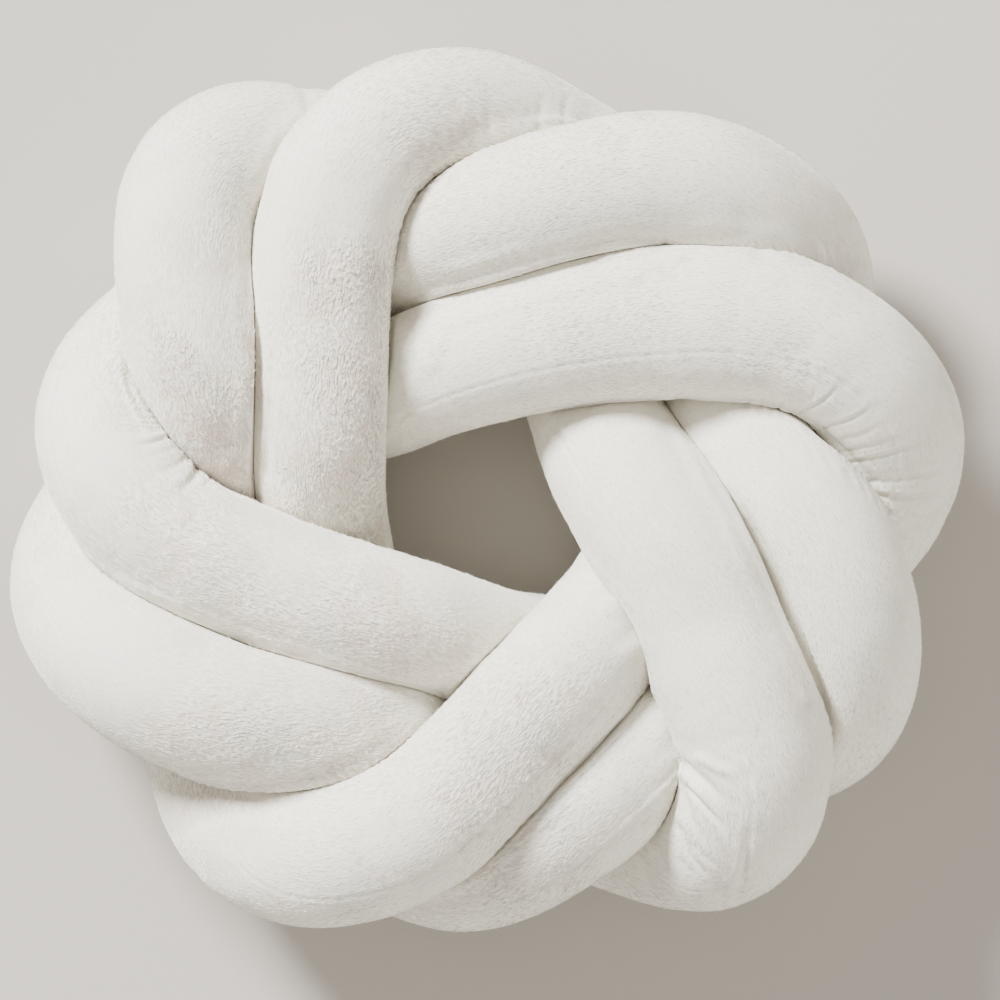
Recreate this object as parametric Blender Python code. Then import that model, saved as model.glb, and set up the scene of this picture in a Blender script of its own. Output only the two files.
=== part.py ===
"""Knot cushion: one long stuffed tube, joined end to end and plaited flat into a round knot.

The tube makes ten passes over the face, as five pairs that travel clockwise. Each pass rises beside
the centre hole, lies over its neighbours, turns at the rim and goes back underneath.
"""

import bpy
import numpy as np

GRID = 0.00046  # metres for one step of the face grid, which is 1000 steps square
GRID_CENTRE = (483, 491)  # middle of the cushion on that grid
HOLE_CENTRE = (483, 514)

LAYER_HEIGHT = 0.031  # from the middle of the cushion to the centre line of its front layer
HIGHEST_LEVEL = 1.07  # the most a centre line may leave the middle, in layer heights
SKIN_GAP = 0.0012  # left between two stretches that press on each other
REST_DEPTH = 0.004  # how far the underside is pressed flat where it rests

EASY_DISTANCE = 0.059  # centre lines nearer than this push each other apart
EASE_ROUNDS = 200
OUTER_LIMIT = 0.161  # hidden stretches stay within this radius of the middle
INNER_LIMIT = 0.069  # and outside this radius of the hole's middle
HOLD_SHOWN = 0.7  # share of a shown stretch's sideways move that is taken back each time
HOLD_LEVEL = 0.01  # the same for every stretch's height
SPREADING = 4  # rounds of softening that spread each push along the tube

PATH_POINTS = 512
RINGS = 360
SIDES = 16
PRESS_POINTS = 1440  # centre line points that press on the rings
SAME_STRETCH = 0.082  # points nearer than this along the tube never press on each other
NEAR = 0.082  # nor do points further apart than this
TIGHTEST_BEND = 0.80  # share of the bend radius that the inside of a bend may take up

# Columns of each row: x and y on the face grid (y down), level (-1 back layer to 1 front layer),
# girth (radius in grid steps) and shown (1 where the front shows it, 0 where others cover it).
PASSES = {
    "first_inner": (
        (303, 585, -0.7, 68, 0), (314, 515, 0.1, 66, 1), (317, 440, 0.7, 66, 1),
        (318, 360, 1.0, 68, 1), (323, 275, 1.1, 70, 1), (341, 197, 1.1, 72, 1),
        (385, 138, 1.0, 71, 1), (455, 116, 0.7, 70, 1), (530, 141, 0.1, 70, 1),
        (600, 183, -0.6, 68, 0), (655, 220, -1.0, 68, 0), (697, 290, -1.0, 68, 0),
    ),
    "third_outer": (
        (722, 385, -0.6, 70, 0), (762, 455, 0.1, 70, 1), (800, 508, 0.6, 71, 1),
        (835, 568, 0.8, 72, 1), (852, 645, 0.6, 71, 1), (838, 712, -0.1, 70, 1),
        (795, 752, -0.9, 68, 0.6), (735, 758, -1.0, 68, 0), (670, 738, -1.0, 68, 0),
        (605, 705, -1.0, 68, 0), (545, 675, -0.6, 66, 0),
    ),
    "fifth_inner": (
        (490, 651, 0.0, 62, 1), (425, 630, 0.5, 62, 1), (350, 607, 0.9, 63, 1),
        (270, 578, 1.0, 66, 1), (190, 543, 1.0, 68, 1), (132, 495, 1.0, 69, 1),
        (107, 430, 0.6, 70, 1), (122, 372, 0.0, 70, 1), (165, 333, -0.6, 69, 0),
        (230, 292, -0.9, 68, 0), (310, 266, -0.8, 68, 0),
    ),
    "second_outer": (
        (375, 253, -0.4, 66, 0), (430, 237, 0.2, 66, 1), (500, 214, 0.8, 69, 1),
        (580, 191, 1.0, 70, 1), (650, 182, 1.0, 70, 1), (715, 190, 0.9, 70, 1),
        (770, 217, 0.5, 71, 1), (808, 262, -0.2, 71, 1), (815, 325, -0.8, 68, 0.5),
        (800, 410, -1.0, 68, 0), (765, 490, -1.0, 68, 0), (710, 560, -0.9, 68, 0),
    ),
    "fourth_inner": (
        (655, 600, -0.5, 66, 0), (610, 632, 0.1, 66, 1), (565, 681, 0.7, 70, 1),
        (516, 738, 1.0, 71, 1), (465, 789, 1.0, 71, 1), (405, 832, 1.0, 71, 1),
        (340, 856, 0.9, 72, 1), (275, 851, 0.4, 72, 1), (228, 805, -0.2, 72, 1),
        (205, 740, -0.8, 69, 0.5), (185, 665, -1.0, 68, 0), (188, 590, -1.0, 68, 0),
        (205, 515, -0.8, 66, 0),
    ),
    "first_outer": (
        (216, 450, -0.3, 66, 1), (204, 395, 0.3, 69, 1), (190, 325, 0.8, 71, 1),
        (183, 255, 1.0, 71, 1), (192, 193, 0.8, 71, 1), (229, 155, 0.3, 71, 1),
        (285, 146, -0.4, 70, 1), (350, 152, -0.9, 68, 0), (425, 168, -1.0, 68, 0),
        (490, 205, -1.0, 68, 0), (540, 270, -1.0, 68, 0), (572, 340, -0.7, 66, 0),
    ),
    "third_inner": (
        (596, 408, 0.0, 64, 1), (628, 475, 0.7, 72, 1), (668, 545, 1.0, 77, 1),
        (703, 620, 1.1, 79, 1), (733, 690, 1.1, 79, 1), (752, 755, 0.9, 76, 1),
        (744, 808, 0.5, 76, 1), (706, 842, -0.1, 75, 1), (655, 838, -0.7, 70, 1),
        (590, 812, -1.0, 68, 0), (520, 782, -1.0, 68, 0), (455, 748, -0.7, 66, 0),
    ),
    "fifth_outer": (
        (400, 727, -0.1, 64, 1), (335, 726, 0.6, 66, 1), (260, 718, 0.9, 69, 1),
        (190, 698, 1.0, 73, 1), (130, 664, 0.9, 75, 1), (84, 612, 0.3, 75, 1),
        (77, 555, -0.5, 73, 1), (108, 485, -1.0, 69, 0), (155, 420, -1.0, 68, 0),
        (220, 380, -1.0, 68, 0), (300, 370, -0.9, 66, 0),
    ),
    "second_inner": (
        (370, 383, -0.4, 63, 0), (430, 371, 0.3, 64, 1), (500, 350, 0.8, 67, 1),
        (580, 333, 1.0, 71, 1), (660, 323, 1.1, 76, 1), (740, 326, 1.1, 78, 1),
        (815, 345, 1.0, 77, 1), (870, 386, 0.7, 75, 1), (893, 440, 0.1, 73, 1),
        (878, 510, -0.7, 71, 1), (845, 572, -1.0, 68, 0), (795, 648, -1.0, 68, 0),
        (740, 694, -0.9, 68, 0),
    ),
    "fourth_outer": (
        (675, 722, -0.2, 66, 1), (630, 760, 0.4, 68, 1), (580, 806, 0.6, 69, 1),
        (525, 842, 0.4, 71, 1), (465, 862, 0.0, 71, 1), (405, 848, -0.6, 70, 1),
        (350, 810, -1.0, 68, 0), (312, 755, -1.0, 68, 0), (295, 690, -1.0, 68, 0),
        (295, 635, -0.9, 68, 0),
    ),
}


def clear_scene():
    for thing in list(bpy.data.objects):
        bpy.data.objects.remove(thing, do_unlink=True)


def on_face(x, y):
    """Grid place to metres, with the middle of the cushion at the origin and y up."""
    return (x - GRID_CENTRE[0]) * GRID, (GRID_CENTRE[1] - y) * GRID


def stations():
    """Points of the centre line in metres, the tube's radius at each and how far it is shown."""
    rows = [row for rows in PASSES.values() for row in rows]
    points = [(*on_face(x, y), level * LAYER_HEIGHT) for x, y, level, _, _ in rows]
    girths = [girth * GRID for _, _, _, girth, _ in rows]
    return np.array(points), np.array(girths), np.array([row[4] for row in rows], float)


def periodic_spline(values, knots, at):
    """Smooth closed curve through the values. Knots has one more entry, where the curve closes."""
    count = len(values)
    gaps = np.diff(knots)
    before = np.roll(gaps, 1)
    slopes = (np.roll(values, -1, 0) - values) / gaps[:, None]
    matrix = np.zeros((count, count))
    for i in range(count):
        matrix[i, i - 1] = before[i]
        matrix[i, i] = 2 * (before[i] + gaps[i])
        matrix[i, (i + 1) % count] = gaps[i]
    bends = np.linalg.solve(matrix, 6 * (slopes - np.roll(slopes, 1, 0)))
    span = np.clip(np.searchsorted(knots, at, side="right") - 1, 0, count - 1)
    after = (span + 1) % count
    gap = gaps[span][:, None]
    ahead = (knots[span + 1] - at)[:, None]
    behind = (at - knots[span])[:, None]
    return (
        (bends[span] * ahead**3 + bends[after] * behind**3) / (6 * gap)
        + (values[span] / gap - bends[span] * gap / 6) * ahead
        + (values[after] / gap - bends[after] * gap / 6) * behind
    )


def closed_lengths(points):
    steps = np.linalg.norm(np.roll(points, -1, 0) - points, axis=1)
    return np.concatenate([[0.0], np.cumsum(steps)])


def evenly(points, count):
    """The closed curve through the points, at equal steps along it, and its length."""
    knots = closed_lengths(points)
    dense = periodic_spline(points, knots, np.linspace(0, knots[-1], 8 * len(points), endpoint=False))
    lengths = closed_lengths(dense)
    wanted = np.arange(count) * lengths[-1] / count
    ring = np.vstack([dense, dense[:1]])
    even = np.stack([np.interp(wanted, lengths, ring[:, axis]) for axis in range(3)], axis=1)
    return even, lengths[-1]


def apart_along(count, length):
    """Distance along the closed tube between every two of its points."""
    index = np.arange(count)
    steps = np.abs(index[:, None] - index[None, :])
    return np.minimum(steps, count - steps) * length / count


def softened(values, rounds):
    for _ in range(rounds):
        values = values / 2 + (np.roll(values, 1, 0) + np.roll(values, -1, 0)) / 4
    return values


def eased(start, shown, length):
    """Moves crowded stretches apart: shown ones up and down only, hidden ones also sideways."""
    others = apart_along(len(start), length) > SAME_STRETCH
    free = 1 - softened(shown, SPREADING)
    hold = np.stack([1 - HOLD_SHOWN * (1 - free)] * 2 + [np.full(len(start), 1 - HOLD_LEVEL)], axis=1)
    hole = np.array(on_face(*HOLE_CENTRE))
    limit = HIGHEST_LEVEL * LAYER_HEIGHT
    moved = np.zeros_like(start)
    for _ in range(EASE_ROUNDS):
        points = start + moved
        between = points[:, None, :] - points[None, :, :]
        distance = np.linalg.norm(between, axis=2) + 1e-9
        lack = np.where(others, np.clip(EASY_DISTANCE - distance, 0, None), 0)
        push = (between * (lack / distance)[:, :, None]).sum(axis=1)
        push /= np.maximum(1, (lack > 0).sum(axis=1))[:, None]
        radius = np.linalg.norm(points[:, :2], axis=1)
        push[:, :2] -= (free * np.clip(radius / OUTER_LIMIT - 1, 0, None))[:, None] * points[:, :2]
        away = points[:, :2] - hole
        radius = np.linalg.norm(away, axis=1)
        push[:, :2] += (free * np.clip(INNER_LIMIT / radius - 1, 0, None))[:, None] * away
        push[:, 2] += np.clip(points[:, 2], -limit, limit) - points[:, 2]
        moved = softened(moved + push, SPREADING) * hold
    return start + moved


def spread(values, knots, count):
    """Values given at the knots of a closed curve, at equal steps along it."""
    return np.interp(np.arange(count) * knots[-1] / count, knots, np.append(values, values[0]))


def centre_line(count):
    """The eased centre line at equal steps, the tube's radius there and the length of a step."""
    points, girths, shown = stations()
    knots = closed_lengths(points)
    even, length = evenly(points, PATH_POINTS)
    line, length = evenly(eased(even, spread(shown, knots, PATH_POINTS), length), count)
    return line, softened(spread(girths, knots, count), 4), length / count


def frames(points):
    """Direction of the tube at each point, and the sideways and upward directions across it."""
    along = np.roll(points, -1, 0) - np.roll(points, 1, 0)
    along /= np.linalg.norm(along, axis=1, keepdims=True)
    side = np.cross(along, (0.0, 0.0, 1.0))
    side /= np.linalg.norm(side, axis=1, keepdims=True)
    return along, side, np.cross(side, along)


def reach(points, radii, step, directions):
    """How far the tube's surface lies from its centre line in each direction of each ring."""
    count = len(points)
    pressing, pressing_radii, _ = centre_line(PRESS_POINTS)
    places = np.arange(PRESS_POINTS) * count / PRESS_POINTS
    limit = np.repeat(radii[:, None], directions.shape[1], axis=1)
    bend = (np.roll(points, -1, 0) - 2 * points + np.roll(points, 1, 0)) / step**2
    for ring, point in enumerate(points):
        along = np.abs(places - ring)
        towards = pressing - point
        distance = np.linalg.norm(towards, axis=1)
        near = (distance < NEAR) & (np.minimum(along, count - along) * step > SAME_STRETCH)
        if near.any():
            share = radii[ring] / (radii[ring] + pressing_radii[near])
            meeting = distance[near] * share - SKIN_GAP / 2
            facing = directions[ring] @ (towards[near] / distance[near][:, None]).T
            reached = np.where(facing > 0.05, meeting / np.maximum(facing, 0.05), np.inf)
            limit[ring] = np.minimum(limit[ring], reached.min(axis=1))
        for turn in (-2, -1, 0, 1, 2):
            inward = directions[ring] @ bend[(ring + turn) % count]
            limit[ring] = np.minimum(limit[ring], TIGHTEST_BEND / np.maximum(inward, 1e-3))
    softer = limit
    for _ in range(2):
        around = (np.roll(softer, 1, 1) + np.roll(softer, -1, 1)) / 2
        beside = (np.roll(softer, 1, 0) + np.roll(softer, -1, 0)) / 2
        softer = np.minimum(limit, softer / 2 + around / 4 + beside / 4)
    return softer


def tube_surface(rings, sides):
    """Vertices of the whole tube, ring by ring, resting on the plane z = 0."""
    points, radii, step = centre_line(rings)
    _, side, up = frames(points)
    turn = (np.arange(sides) + 0.5) * 2 * np.pi / sides
    across = side[:, None, :] * np.sin(turn)[None, :, None]
    directions = across + up[:, None, :] * np.cos(turn)[None, :, None]
    surface = points[:, None, :] + directions * reach(points, radii, step, directions)[:, :, None]
    surface[:, :, 2] -= surface[:, :, 2].min() + REST_DEPTH
    surface[:, :, 2] = np.maximum(surface[:, :, 2], 0)
    corner_low = surface.reshape(-1, 3).min(axis=0)
    corner_high = surface.reshape(-1, 3).max(axis=0)
    surface[:, :, :2] -= ((corner_low + corner_high) / 2)[:2]
    return surface


def tube_faces(rings, sides):
    faces = []
    for ring in range(rings):
        ahead = (ring + 1) % rings
        for side in range(sides):
            beside = (side + 1) % sides
            near_a, near_b = ring * sides + side, ring * sides + beside
            far_a, far_b = ahead * sides + side, ahead * sides + beside
            faces.append((near_a, near_b, far_b))
            faces.append((near_a, far_b, far_a))
    return faces


def plush():
    material = bpy.data.materials.new("white_plush")
    material.use_nodes = True
    surface = material.node_tree.nodes["Principled BSDF"]
    surface.inputs["Base Color"].default_value = (0.80, 0.79, 0.76, 1.0)
    surface.inputs["Roughness"].default_value = 0.95
    return material


def build():
    clear_scene()
    surface = tube_surface(RINGS, SIDES)
    mesh = bpy.data.meshes.new("knotted_tube")
    mesh.from_pydata(surface.reshape(-1, 3).tolist(), [], tube_faces(RINGS, SIDES))
    mesh.materials.append(plush())
    mesh.shade_smooth()
    mesh.update()
    tube = bpy.data.objects.new("knotted_tube", mesh)
    bpy.context.scene.collection.objects.link(tube)


build()
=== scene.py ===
import math
import bpy
import numpy as np
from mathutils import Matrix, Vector


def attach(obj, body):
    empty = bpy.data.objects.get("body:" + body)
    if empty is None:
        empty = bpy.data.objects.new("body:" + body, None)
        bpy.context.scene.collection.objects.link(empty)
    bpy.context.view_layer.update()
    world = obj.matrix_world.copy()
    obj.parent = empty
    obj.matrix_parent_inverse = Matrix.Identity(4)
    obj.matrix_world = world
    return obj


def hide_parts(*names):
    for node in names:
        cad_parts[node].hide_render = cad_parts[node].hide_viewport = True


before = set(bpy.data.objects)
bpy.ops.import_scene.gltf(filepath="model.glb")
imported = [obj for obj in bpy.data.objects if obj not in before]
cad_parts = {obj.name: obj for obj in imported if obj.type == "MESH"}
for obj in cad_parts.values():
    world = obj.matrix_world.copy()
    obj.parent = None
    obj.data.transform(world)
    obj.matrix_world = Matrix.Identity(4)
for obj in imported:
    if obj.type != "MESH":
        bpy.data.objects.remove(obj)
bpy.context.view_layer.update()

# sizes are in metres unless a note says otherwise
knot = {
    "gridStep": 0.00046,  # one step of the face grid, which is 1000 steps square
    "gridCentre": (483, 491),
    "holeCentre": (483, 514),
    "layerHeight": 0.031,  # middle of the cushion to the centre line of the front layer
    "highestLevel": 1.07,  # most that the centre line leaves the middle, in layer heights
    "restDepth": 0.004,  # how far the underside is pressed flat
    "easyDistance": 0.059,  # centre lines nearer than this push each other apart
    "easeRounds": 200,
    "outerLimit": 0.161,  # hidden stretches stay within this radius of the middle
    "innerLimit": 0.069,  # and outside this radius of the hole's middle
    "holdShown": 0.7,  # how firmly the shown stretches keep their place on the face
    "holdLevel": 0.01,  # and how firmly all of them keep their level
    "spreading": 4,  # rounds of softening, here and of the girth
    "pathPoints": 512,
    "girthPoints": 360,
    "pressPoints": 1440,  # centre line points that press on the skin
    "sameStretch": 0.082,  # points nearer than this along the tube never press on each other
    "near": 0.082,  # points further than this from the centre line don't press on it
    "leastFacing": 0.05,  # cosine below which a direction counts as facing away from a neighbour
    "leastBend": 1e-3,
    "tightestBend": 0.80,  # share of the bend radius that the inside of a bend may take up
    "bendStep": 0.01168,  # length over which a bend is measured
    "acrossStep": 0.0015,  # length over which the tube's direction is measured
    "solidRings": 360, "solidSides": 16, "solidGap": 0.0012,  # the solid, as the CAD lays it out
}
tiny = 1e-9  # keeps a division from failing

# each row: x and y on the face grid (y down), level, girth in grid steps, how far it is shown
passes = {
    "firstInner": (
        (303, 585, -0.7, 68, 0), (314, 515, 0.1, 66, 1), (317, 440, 0.7, 66, 1),
        (318, 360, 1.0, 68, 1), (323, 275, 1.1, 70, 1), (341, 197, 1.1, 72, 1),
        (385, 138, 1.0, 71, 1), (455, 116, 0.7, 70, 1), (530, 141, 0.1, 70, 1),
        (600, 183, -0.6, 68, 0), (655, 220, -1.0, 68, 0), (697, 290, -1.0, 68, 0),
    ),
    "thirdOuter": (
        (722, 385, -0.6, 70, 0), (762, 455, 0.1, 70, 1), (800, 508, 0.6, 71, 1),
        (835, 568, 0.8, 72, 1), (852, 645, 0.6, 71, 1), (838, 712, -0.1, 70, 1),
        (795, 752, -0.9, 68, 0.6), (735, 758, -1.0, 68, 0), (670, 738, -1.0, 68, 0),
        (605, 705, -1.0, 68, 0), (545, 675, -0.6, 66, 0),
    ),
    "fifthInner": (
        (490, 651, 0.0, 62, 1), (425, 630, 0.5, 62, 1), (350, 607, 0.9, 63, 1),
        (270, 578, 1.0, 66, 1), (190, 543, 1.0, 68, 1), (132, 495, 1.0, 69, 1),
        (107, 430, 0.6, 70, 1), (122, 372, 0.0, 70, 1), (165, 333, -0.6, 69, 0),
        (230, 292, -0.9, 68, 0), (310, 266, -0.8, 68, 0),
    ),
    "secondOuter": (
        (375, 253, -0.4, 66, 0), (430, 237, 0.2, 66, 1), (500, 214, 0.8, 69, 1),
        (580, 191, 1.0, 70, 1), (650, 182, 1.0, 70, 1), (715, 190, 0.9, 70, 1),
        (770, 217, 0.5, 71, 1), (808, 262, -0.2, 71, 1), (815, 325, -0.8, 68, 0.5),
        (800, 410, -1.0, 68, 0), (765, 490, -1.0, 68, 0), (710, 560, -0.9, 68, 0),
    ),
    "fourthInner": (
        (655, 600, -0.5, 66, 0), (610, 632, 0.1, 66, 1), (565, 681, 0.7, 70, 1),
        (516, 738, 1.0, 71, 1), (465, 789, 1.0, 71, 1), (405, 832, 1.0, 71, 1),
        (340, 856, 0.9, 72, 1), (275, 851, 0.4, 72, 1), (228, 805, -0.2, 72, 1),
        (205, 740, -0.8, 69, 0.5), (185, 665, -1.0, 68, 0), (188, 590, -1.0, 68, 0),
        (205, 515, -0.8, 66, 0),
    ),
    "firstOuter": (
        (216, 450, -0.3, 66, 1), (204, 395, 0.3, 69, 1), (190, 325, 0.8, 71, 1),
        (183, 255, 1.0, 71, 1), (192, 193, 0.8, 71, 1), (229, 155, 0.3, 71, 1),
        (285, 146, -0.4, 70, 1), (350, 152, -0.9, 68, 0), (425, 168, -1.0, 68, 0),
        (490, 205, -1.0, 68, 0), (540, 270, -1.0, 68, 0), (572, 340, -0.7, 66, 0),
    ),
    "thirdInner": (
        (596, 408, 0.0, 64, 1), (628, 475, 0.7, 72, 1), (668, 545, 1.0, 77, 1),
        (703, 620, 1.1, 79, 1), (733, 690, 1.1, 79, 1), (752, 755, 0.9, 76, 1),
        (744, 808, 0.5, 76, 1), (706, 842, -0.1, 75, 1), (655, 838, -0.7, 70, 1),
        (590, 812, -1.0, 68, 0), (520, 782, -1.0, 68, 0), (455, 748, -0.7, 66, 0),
    ),
    "fifthOuter": (
        (400, 727, -0.1, 64, 1), (335, 726, 0.6, 66, 1), (260, 718, 0.9, 69, 1),
        (190, 698, 1.0, 73, 1), (130, 664, 0.9, 75, 1), (84, 612, 0.3, 75, 1),
        (77, 555, -0.5, 73, 1), (108, 485, -1.0, 69, 0), (155, 420, -1.0, 68, 0),
        (220, 380, -1.0, 68, 0), (300, 370, -0.9, 66, 0),
    ),
    "secondInner": (
        (370, 383, -0.4, 63, 0), (430, 371, 0.3, 64, 1), (500, 350, 0.8, 67, 1),
        (580, 333, 1.0, 71, 1), (660, 323, 1.1, 76, 1), (740, 326, 1.1, 78, 1),
        (815, 345, 1.0, 77, 1), (870, 386, 0.7, 75, 1), (893, 440, 0.1, 73, 1),
        (878, 510, -0.7, 71, 1), (845, 572, -1.0, 68, 0), (795, 648, -1.0, 68, 0),
        (740, 694, -0.9, 68, 0),
    ),
    "fourthOuter": (
        (675, 722, -0.2, 66, 1), (630, 760, 0.4, 68, 1), (580, 806, 0.6, 69, 1),
        (525, 842, 0.4, 71, 1), (465, 862, 0.0, 71, 1), (405, 848, -0.6, 70, 1),
        (350, 810, -1.0, 68, 0), (312, 755, -1.0, 68, 0), (295, 690, -1.0, 68, 0),
        (295, 635, -0.9, 68, 0),
    ),
}


def onFace(x, y):
    return (x - knot["gridCentre"][0]) * knot["gridStep"], (knot["gridCentre"][1] - y) * knot["gridStep"]


def periodicSpline(values, knots, at):
    # smooth closed curve through the values; knots has one more entry, where the curve closes
    count = len(values)
    gaps = np.diff(knots)
    before = np.roll(gaps, 1)
    slopes = (np.roll(values, -1, 0) - values) / gaps[:, None]
    matrix = np.diag(2 * (before + gaps))
    for i in range(count):
        matrix[i, i - 1] = before[i]
        matrix[i, (i + 1) % count] = gaps[i]
    bends = np.linalg.solve(matrix, 6 * (slopes - np.roll(slopes, 1, 0)))
    span = np.clip(np.searchsorted(knots, at, side="right") - 1, 0, count - 1)
    after = (span + 1) % count
    gap = gaps[span][:, None]
    ahead = (knots[span + 1] - at)[:, None]
    behind = (at - knots[span])[:, None]
    return ((bends[span] * ahead**3 + bends[after] * behind**3) / (6 * gap)
            + (values[span] / gap - bends[span] * gap / 6) * ahead
            + (values[after] / gap - bends[after] * gap / 6) * behind)


def closedLengths(points):
    steps = np.linalg.norm(np.roll(points, -1, 0) - points, axis=1)
    return np.concatenate([[0.0], np.cumsum(steps)])


def evenly(points, count):
    knots = closedLengths(points)
    dense = periodicSpline(points, knots, np.linspace(0, knots[-1], 8 * len(points), endpoint=False))
    lengths = closedLengths(dense)
    wanted = np.arange(count) * lengths[-1] / count
    ring = np.vstack([dense, dense[:1]])
    even = np.stack([np.interp(wanted, lengths, ring[:, axis]) for axis in range(3)], axis=1)
    return even, lengths[-1]


def smoothstep(low, high, value):
    part = np.clip((value - low) / (high - low), 0, 1)
    return part * part * (3 - 2 * part)


def softened(values, rounds):
    for _ in range(rounds):
        values = values / 2 + (np.roll(values, 1, 0) + np.roll(values, -1, 0)) / 4
    return values


def eased(start, shown, length):
    # moves crowded stretches apart: shown ones up and down only, hidden ones also sideways
    steps = np.abs(np.arange(len(start))[:, None] - np.arange(len(start))[None, :])
    others = np.minimum(steps, len(start) - steps) * length / len(start) > knot["sameStretch"]
    free = 1 - softened(shown, knot["spreading"])
    sideways = 1 - knot["holdShown"] * (1 - free)
    hold = np.stack([sideways, sideways, np.full(len(start), 1 - knot["holdLevel"])], axis=1)
    hole = np.array(onFace(*knot["holeCentre"]))
    limit = knot["highestLevel"] * knot["layerHeight"]
    moved = np.zeros_like(start)
    for _ in range(knot["easeRounds"]):
        points = start + moved
        between = points[:, None, :] - points[None, :, :]
        distance = np.linalg.norm(between, axis=2) + tiny
        lack = np.where(others, np.clip(knot["easyDistance"] - distance, 0, None), 0)
        push = (between * (lack / distance)[:, :, None]).sum(axis=1)
        push /= np.maximum(1, (lack > 0).sum(axis=1))[:, None]
        radius = np.linalg.norm(points[:, :2], axis=1)
        push[:, :2] -= (free * np.clip(radius / knot["outerLimit"] - 1, 0, None))[:, None] * points[:, :2]
        away = points[:, :2] - hole
        radius = np.linalg.norm(away, axis=1)
        push[:, :2] += (free * np.clip(knot["innerLimit"] / radius - 1, 0, None))[:, None] * away
        push[:, 2] += np.clip(points[:, 2], -limit, limit) - points[:, 2]
        moved = softened(moved + push, knot["spreading"]) * hold
    return start + moved


def spread(values, knots, count):
    return np.interp(np.arange(count) * knots[-1] / count, knots, np.append(values, values[0]))


rows = [row for name in passes for row in passes[name]]
stationPoints = np.array([(*onFace(x, y), level * knot["layerHeight"]) for x, y, level, _, _ in rows])
stationKnots = closedLengths(stationPoints)
stationShares = stationKnots / stationKnots[-1]
evenPath, pathLength = evenly(stationPoints, knot["pathPoints"])
shownAlong = spread(np.array([row[4] for row in rows], float), stationKnots, knot["pathPoints"])
tubeLine, tubeLength = evenly(eased(evenPath, shownAlong, pathLength), knot["pathPoints"])
tubeKnots = closedLengths(tubeLine)
girthRows = np.array([row[3] for row in rows]) * knot["gridStep"]
tubeGirth = softened(spread(girthRows, stationKnots, knot["girthPoints"]), knot["spreading"])
firstRow = dict(zip(passes, np.cumsum([0] + [len(passes[name]) for name in passes])))
print("tube laid out,", round(tubeLength, 3), "m long")


def shareOf(passName, row):
    # share of the tube's length at a row of a pass, which may lie between two rows
    return float(np.interp(firstRow[passName] + row, np.arange(len(stationShares)), stationShares))


def lineAt(shares):
    return periodicSpline(tubeLine, tubeKnots, np.mod(shares, 1) * tubeKnots[-1])


def placed(table):
    # the columns of a table, with each row's share of the tube's length in place of its pass and row
    return np.array([(shareOf(name, row), *rest) for name in table for row, *rest in table[name]]).T


def closedAt(values, shares):
    # values at even steps round the closed tube, taken at any share of its length
    count = len(values)
    return np.interp(np.mod(shares, 1) * count, np.arange(count + 1), np.append(values, values[0]))


def girthAt(shares):
    return closedAt(tubeGirth, shares)


skin = {
    "hiddenSpacing": 0.0130,  # between the rings of the simulated skin, which is refined once
    "shownSpacing": 0.0066,
    "shownSoftening": 6, "spacingSoftening": 60, "alongSteps": 8192,
    "closeTurn": 2.9, "wideTurn": 7.6,  # degrees between the columns, over the folds and elsewhere
    "closeFrom": -8, "closeTo": 88,  # degrees from the seam
    "turnSoftening": 400, "turnSteps": 3600,
    "seamSoftening": 80, "seamSteps": 2048,
    "gap": 0.0002,  # left between two stretches that press on each other
    "bulge": 1.015,  # how much rounder than the solid the skin may get
    "startSize": 0.985,  # the stuffing swells it from a smaller shape
    "tightestBend": 0.92,  # as in the knot, but the skin folds further in than the solid
    "bridged": 0.0070,  # neighbours nearer than this are pressed until they meet
    "bridgedFinely": 0.0020,  # the same once the skin is refined
    "bridgeEase": (0.4, 1.0),  # shares of that distance over which the pressing gives out
    "cornerRounds": 2,  # rounds of softening where a pressed face begins
    "grooveDepth": 0.0004, "grooveWidth": 0.0028,  # the groove where two stretches part
    "wideGroove": 0.0062,  # width of what the meetings below add to it
    "touching": 0.0007,  # room below which two stretches touch
    "meetingEase": 0.018,  # length over which the meetings below change
    "sideEase": (-0.2, 0.4),  # sine of the turn over which one side of the tube begins
    "bareFrom": (0.0001, 0.0020),  # room in front of the skin where pile starts and where it is full
}

# where the rings stand closer, by pass: first row, last row, spacing of the simulated skin
closerRings = {
    "secondInner": [(4.2, 6.2, 0.0030), (6.2, 10.3, 0.0018)],
    "thirdInner": [(4.4, 7.8, 0.0020)],
    "fifthInner": [(4.0, 5.7, 0.0022), (5.7, 6.8, 0.0013)],
    "firstInner": [(4.8, 8.6, 0.0036)],
    "fourthInner": [(5.6, 8.8, 0.0044)],
    "firstOuter": [(4.2, 6.6, 0.0032)],
    "secondOuter": [(3.8, 4.7, 0.0022)],
}

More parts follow.
